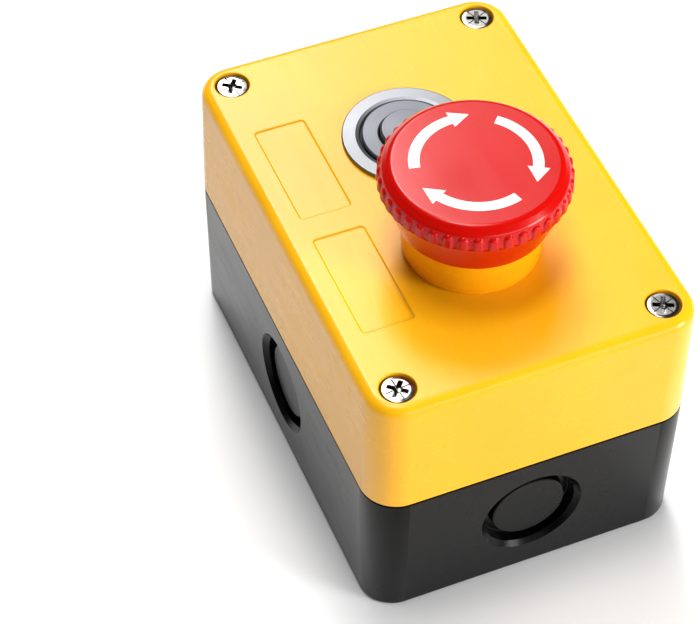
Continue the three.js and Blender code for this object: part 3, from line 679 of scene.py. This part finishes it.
def make_head():
    h = LID_TOP
    per_rib = 24
    rib_circle = 19.5
    inside_limit = 17  # the head's inside lies within this radius and has no ribs
    columns = TEETH * per_rib
    angles = np.arange(columns) * TAU / columns
    lateral = ((np.arange(columns) % per_rib) / per_rib - 0.5) * TAU / TEETH * rib_circle
    skirt = rounded_path([
        (14.95, SKIRT_BOTTOM, 0), (SKIRT_RADIUS, SKIRT_BOTTOM, 0.3), (19.3, TEETH_BOTTOM - 0.1, 0.1),
        (19.42, TEETH_BOTTOM - 0.1, 0.04), (19.42, TEETH_BOTTOM, 0),
    ])
    band = [(band_radius(z), z) for z in np.linspace(TEETH_BOTTOM + 0.001, h + 21.35, 30)]
    shoulder = rounded_path([
        (band[-1][0], band[-1][1], 0), (18.75, h + 21.95, 1.4),
        (HEAD_EDGE, head_top_height(HEAD_EDGE), 1.6), (15.8, head_top_height(15.8), 0),
    ])
    face = [(r, head_top_height(r)) for r in (15.0, 14.0, 12.0, 10.0, 8.0, 6.0, 4.0, 2.0)]
    inner = rounded_path([
        (4.5, h + 6.35, 0), (4.5, h + 19.5, 0.6), (16.6, h + 19.5, 1.0), (14.95, SKIRT_BOTTOM + 0.3, 0.2),
        (14.95, SKIRT_BOTTOM, 0),
    ])
    rows = [(2.2, h + 6.3), (4.3, h + 6.3)] + [tuple(p) for p in inner[:-1]] + [tuple(p) for p in skirt]
    rows += band + [tuple(p) for p in shoulder[1:]] + face
    rings = []
    for radius, height in rows:
        radii = np.full(columns, float(radius))
        if height > TEETH_BOTTOM and radius > inside_limit:
            radii = np.maximum(radii, rib_radius(lateral, height))
        rings.append(np.stack([
            STOP_CENTRE[0] + radii * np.cos(angles),
            STOP_CENTRE[1] + radii * np.sin(angles),
            np.full(columns, height),
        ], 1))
    piece = new_object("mushroom_cap", *skin(rings, ends="point"))
    finish_piece(piece, "head", "red_plastic", ["mushroom_head"], sharp_angle=42)


def arrow_outline():
    """One arrow, clockwise from its tail at 47 degrees; angles are anticlockwise from +X."""
    inner, outer, middle = 11.15, 13.4, 12.28
    tail, neck, tip = math.radians(47), math.radians(-29.7), math.radians(-47.6)
    steps = 40
    sweep = [tail + (neck - tail) * i / steps for i in range(steps + 1)]
    outline = [(outer * math.cos(a), outer * math.sin(a)) for a in sweep]
    outline.append((14.55 * math.cos(neck), 14.55 * math.sin(neck)))
    outline.append((13.0 * math.cos(tip), 13.0 * math.sin(tip)))
    outline.append((10.15 * math.cos(neck), 10.15 * math.sin(neck)))
    outline += [(inner * math.cos(a), inner * math.sin(a)) for a in reversed(sweep)]
    return outline


def make_arrows():
    """Three printed arrows, each a thin plate that follows the head's domed face."""
    outline = arrow_outline()
    for index in range(3):
        spin = Matrix.Rotation(index * TAU / 3, 3, "Z")
        points = [spin @ Vector((x, y, 0)) for x, y in outline][::-1]
        rings = []
        for offset in (-0.06, 0.025):
            rings.append([
                (STOP_CENTRE[0] + p.x, STOP_CENTRE[1] + p.y, head_top_height(p.length) + offset)
                for p in points
            ])
        piece = new_object(f"arrow_{index + 1}", *skin(rings))
        finish_piece(piece, "head", "arrow_white", sharp_angle=20)


# ---------------------------------------------------------------- key switch

def make_key_switch():
    h = LID_TOP
    bezel = rounded_path([
        (13.1, h + 0.02, 0), (14.0, h + 0.02, 0.1), (14.0, h + 1.0, 0.3), (11.1, h + 1.0, 0.3),
        (10.35, h + 0.82, 0.1), (10.1, h + 0.6, 0), (10.1, h + 0.5, 0), (13.1, h + 0.5, 0),
    ], closed=True)
    piece = new_object("bezel_ring", *revolve(bezel, 192, KEY_CENTRE))
    finish_piece(piece, "enclosure", "satin_chrome", ["key_bezel"])
    trim = rounded_path([
        (6.2, h + 0.5, 0), (9.8, h + 0.5, 0.05), (9.8, h + 1.12, 0.05), (9.5, h + 1.4, 0.08),
        (6.45, h + 1.4, 0.08), (6.2, h + 1.2, 0.05),
    ], closed=True)
    piece = new_object("trim_ring", *revolve(trim, 160, KEY_CENTRE))
    finish_piece(piece, "enclosure", "grey_metal", ["key_trim_ring"])
    plug = rounded_path([
        (0, h - 9.3, 0), (3, h - 9.3, 0), (3, h - 7.4, 0), (5.9, h - 7.4, 0), (5.9, h + 2.25, 0.1),
        (5.52, h + 2.6, 0.12), (0, h + 2.6, 0),
    ])
    piece = new_object("lock_plug", *revolve(plug, 128, KEY_CENTRE))
    turn = Matrix.Rotation(math.radians(30), 4, "Z")
    keyway = skin([
        [(x, y, z) for x, y in rounded_rectangle(4.3 + grow, 0.9 + grow, 0.25, 4)]
        for z, grow in ((h - 7.4, 0), (h + 2.45, 0), (h + 2.65, 0.18), (h + 3, 0.18))
    ])
    combine(piece, moved(keyway, (*KEY_CENTRE, 0), turn), "DIFFERENCE")
    finish_piece(piece, "key", "grey_metal", ["key_cylinder"])


# ---------------------------------------------------------------- springs

def make_spring(node, wire, radius, turns):
    """A coil with closed ends. Its wire is given by its radius."""
    low, high = (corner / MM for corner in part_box(node))
    centre = ((low.x + high.x) / 2, (low.y + high.y) / 2)
    steps, sides = int(turns * 40), 12
    rings = []
    for step in range(steps + 1):
        t = step / steps
        angle = t * turns * TAU
        ease = min(max((t * turns - 0.6) / (turns - 1.2), 0), 1)
        height = low.z + wire + (high.z - low.z - 2 * wire) * ease
        out = np.array([math.cos(angle), math.sin(angle), 0])
        middle = np.array([*centre, height]) + out * radius
        ring = [
            middle + wire * (math.cos(s) * out + math.sin(s) * np.array([0, 0, 1]))
            for s in np.arange(sides) * TAU / sides
        ]
        rings.append(ring[::-1])
    piece = new_object(node + "_coil", *skin(rings))
    finish_piece(piece, "enclosure", "spring_steel", [node], sharp_angle=50)
    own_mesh(piece)


# ---------------------------------------------------------------- CAD nodes and floor

def dress_cad_nodes():
    """Nodes that keep their own shape get their slot's material."""
    for entry in frame["record"]["subparts"]:
        node = frame["nodes"][entry["node"]]
        node.data.materials.clear()
        node.data.materials.append(MATERIALS[entry["material_slot"]])


def add_floor():
    look = Look("pale_floor")
    cloud = look.noise(60, detail=2)
    look.set(Base_Color=look.mix(look.between(cloud, 0, 1), (0.92, 0.92, 0.92), (0.94, 0.94, 0.94)))
    look.set(Roughness=0.6)
    size = 3000
    level = -0.1
    corners = [(-size, -size, level), (size, -size, level), (size, size, level), (-size, size, level)]
    floor = new_object("floor", corners, [(0, 1, 2, 3)])
    floor.data.materials.append(look.material)


add_camera()
add_lighting()
MATERIALS = make_materials()
add_floor()
dress_cad_nodes()
make_lid()
make_base()
make_screws()
make_collar()
make_head()
make_arrows()
make_key_switch()
make_spring("estop_return_spring", wire=0.6, radius=6.2, turns=6)
make_spring("estop_contact_spring", wire=0.35, radius=2.4, turns=7)
make_spring("key_contact_spring", wire=0.35, radius=2.4, turns=8)
